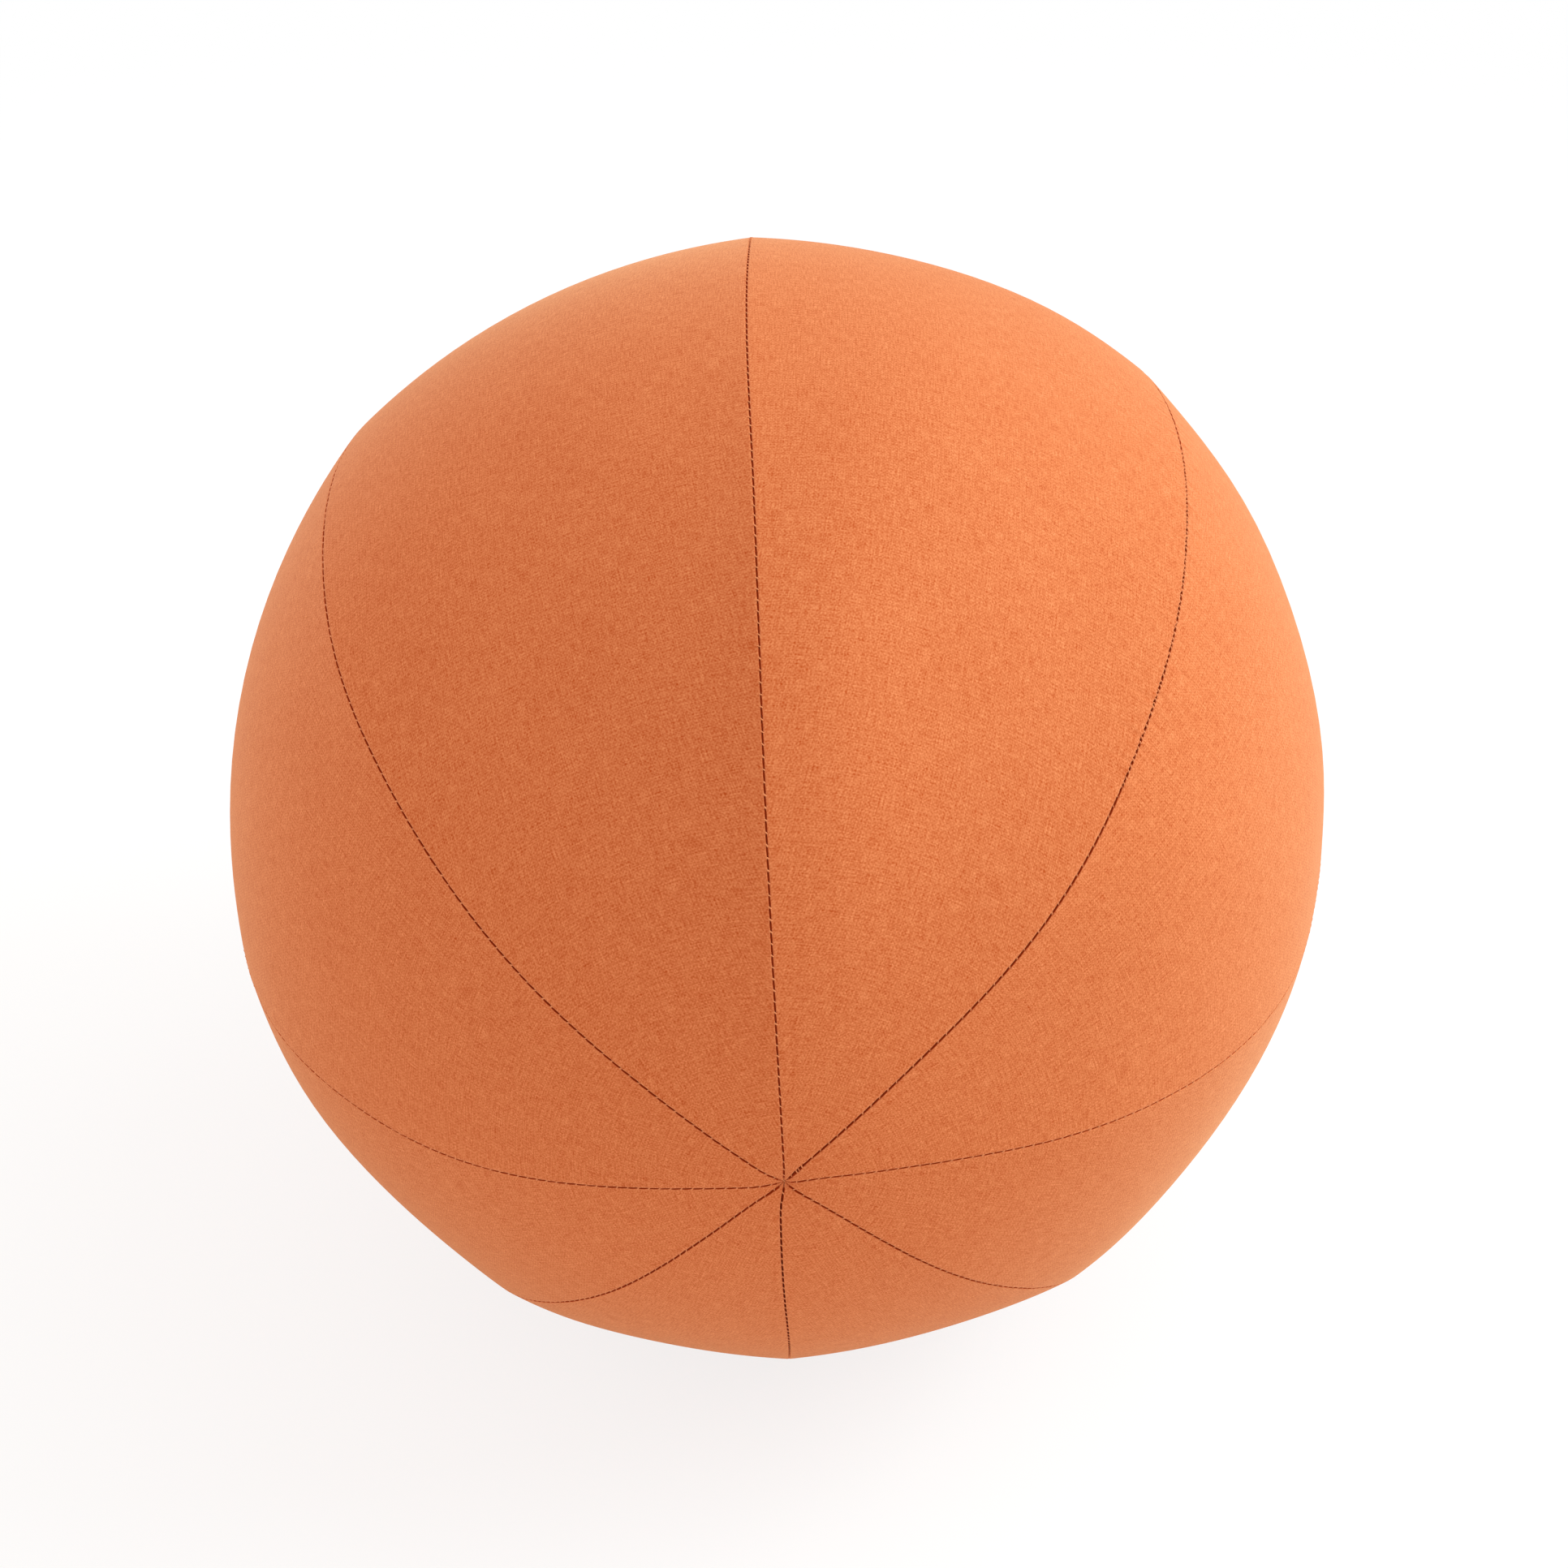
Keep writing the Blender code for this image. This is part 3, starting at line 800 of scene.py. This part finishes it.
makeSeams()
print("stitches made on", len(seams), "seams")


# knots: a few turns of thread draw the tips of the panels together at each pole
knot = {
    "threads": (  # turn of the thread in degrees, its middle off the pole in millimetres, half length, height
        (315, (0.0, 0.0), 0.65, 0.12),
        (80, (-1.4, 0.2), 0.22, 0.06),
        (35, (0.0, 0.0), 0.50, -0.20),
        (270, (0.1, -0.1), 0.50, -0.45),
    ),
    "radius": 0.16 * mm,
}


def makeKnot(name, node, side):
    turns, middles, halves, heights = (np.array(v) for v in zip(*knot["threads"]))
    count = len(turns)
    piece, shape = repeatedRungs(name, count)
    pole = np.array((0, side * (reach - sum(sewing["dimple"])), centreHeight))
    sideX = np.array((-side, 0, 0))
    up = np.array((0, 0, 1))
    out = np.array((0, side, 0))
    angle = np.radians(turns)[:, None]
    across = np.cos(angle) * sideX + np.sin(angle) * up
    along = -np.sin(angle) * sideX + np.cos(angle) * up
    place = pole + mm * (middles[:, :1] * sideX + middles[:, 1:] * up)
    frames = (place, along, across, np.broadcast_to(out, place.shape))
    none = np.zeros(count)
    placeRungs(piece, shape, frames, halves * mm, none, -heights * mm, none + knot["radius"])
    finishThread(piece, node)


makeKnot("front_knot", "front_pole_knot", -1)
makeKnot("rear_knot", "rear_pole_knot", 1)
print("knots made")

# the solids inside keep their shapes
for subpart in frame["record"]["subparts"]:
    node = frame["nodes"][subpart["node"]]
    if not node.hide_render:
        node.data.materials.clear()
        node.data.materials.append(insideMaterials[subpart["material_slot"]])
print("insides finished")


# stage: white paper floor that keeps the shadow, and white all round
stage = {
    "floor": 12.0,
    "paper": "#F4F4F2",
    "ownWhite": 0.8,  # near the ball
    "fade": (0.45, 1.3),  # metres from the ball, over which the floor turns as white as the surround
    "surround": 0.935,
    "surroundTint": "#FFF1EB",  # a warm room
}


def seenDirectly(tree):  # 1 for rays from the camera, and for those by way of a mirror or glass
    path = addNode(tree, "LightPath").outputs
    either = addNode(tree, "Math", {0: path["Is Camera Ray"], 1: path["Is Glossy Ray"]}, operation="MAXIMUM")
    return addNode(
        tree, "Math", {0: either.outputs[0], 1: path["Is Transmission Ray"]}, operation="MAXIMUM"
    ).outputs[0]


def makeStage():
    bpy.ops.object.select_all(action="DESELECT")
    bpy.ops.mesh.primitive_plane_add(size=stage["floor"])
    floor = bpy.context.object
    floor.name = "floor"
    material, tree, shader = newMaterial("white paper")
    shader.inputs["Base Color"].default_value = colour(stage["paper"])
    shader.inputs["Roughness"].default_value = 1
    shader.inputs["Specular IOR Level"].default_value = 0
    glow = addNode(tree, "Emission", {"Color": (1, 1, 1, 1), "Strength": 1.0}).outputs[0]
    place = addNode(tree, "TexCoord").outputs["Object"]
    away = addNode(tree, "VectorMath", {0: place}, operation="LENGTH").outputs["Value"]
    near, far = stage["fade"]
    whiteness = addNode(
        tree,
        "MapRange",
        {"Value": away, "From Min": near, "From Max": far, "To Min": stage["ownWhite"], "To Max": 1.0},
        interpolation_type="SMOOTHSTEP",
    ).outputs[0]
    share = addNode(tree, "Math", {0: seenDirectly(tree), 1: whiteness}, operation="MULTIPLY").outputs[0]
    mixed = addNode(tree, "MixShader", {0: share, 1: shader.outputs[0], 2: glow}).outputs[0]
    tree.links.new(mixed, tree.nodes["Material Output"].inputs["Surface"])
    floor.data.materials.append(material)

    world = bpy.data.worlds.new("white surround")
    bpy.context.scene.world = world
    world.use_nodes = True
    tree = world.node_tree
    soft = tree.nodes["Background"]
    soft.inputs["Strength"].default_value = stage["surround"]
    soft.inputs["Color"].default_value = colour(stage["surroundTint"])
    white = addNode(tree, "Background", {"Color": (1, 1, 1, 1), "Strength": 1.0}).outputs[0]
    mixed = addNode(tree, "MixShader", {0: seenDirectly(tree), 1: soft.outputs[0], 2: white}).outputs[0]
    tree.links.new(mixed, tree.nodes["World Output"].inputs["Surface"])


makeStage()

# soft daylight lamps: azimuth and elevation in degrees as seen from the ball, size and distance in metres
lamps = {
    "key": {"from": (90, 35), "watts": 16.8},
    "topRight": {"from": (90, 65), "watts": 4.8},
    "backRight": {"from": (120, 30), "watts": 5.4},
    "left": {"from": (-90, 6), "watts": 3.6},
    "backLeft": {"from": (-135, 6), "watts": 6},
}
daylight = {"colour": "#DDF9FF", "distance": 1.6, "size": 0.9}
ballCentre = Vector((0, 0, centreHeight))


def placeFrom(azimuth, elevation, distance):  # azimuth 0 is in front of the ball, 90 on its right
    azimuth, elevation = math.radians(azimuth), math.radians(elevation)
    flat = math.cos(elevation)
    toward = Vector((flat * math.sin(azimuth), -flat * math.cos(azimuth), math.sin(elevation)))
    return ballCentre + distance * toward


def aimAtBall(obj):
    obj.rotation_euler = (ballCentre - obj.location).to_track_quat("-Z", "Y").to_euler()


for name, lamp in lamps.items():
    data = bpy.data.lights.new(name, "AREA")
    data.shape = "DISK"
    data.size = daylight["size"]
    data.energy = lamp["watts"]
    data.color = colour(daylight["colour"])[:3]
    lampObject = bpy.data.objects.new(name, data)
    bpy.context.scene.collection.objects.link(lampObject)
    lampObject.location = placeFrom(*lamp["from"], daylight["distance"])
    aimAtBall(lampObject)

# camera: at the viewing angle of the picture, a little to the left and well above
view = {"from": (-0.58, 35.13), "distance": 0.875, "lens": 62.19, "shift": (0.0043, 0.0062)}
cameraData = bpy.data.cameras.new("camera")
cameraData.lens = view["lens"]
cameraData.sensor_width = 36
cameraData.shift_x, cameraData.shift_y = view["shift"]
camera = bpy.data.objects.new("camera", cameraData)
bpy.context.scene.collection.objects.link(camera)
camera.location = placeFrom(*view["from"], view["distance"])
aimAtBall(camera)
bpy.context.scene.camera = camera
bpy.context.scene.view_settings.view_transform = "Standard"
print("stage, lamps and camera set")
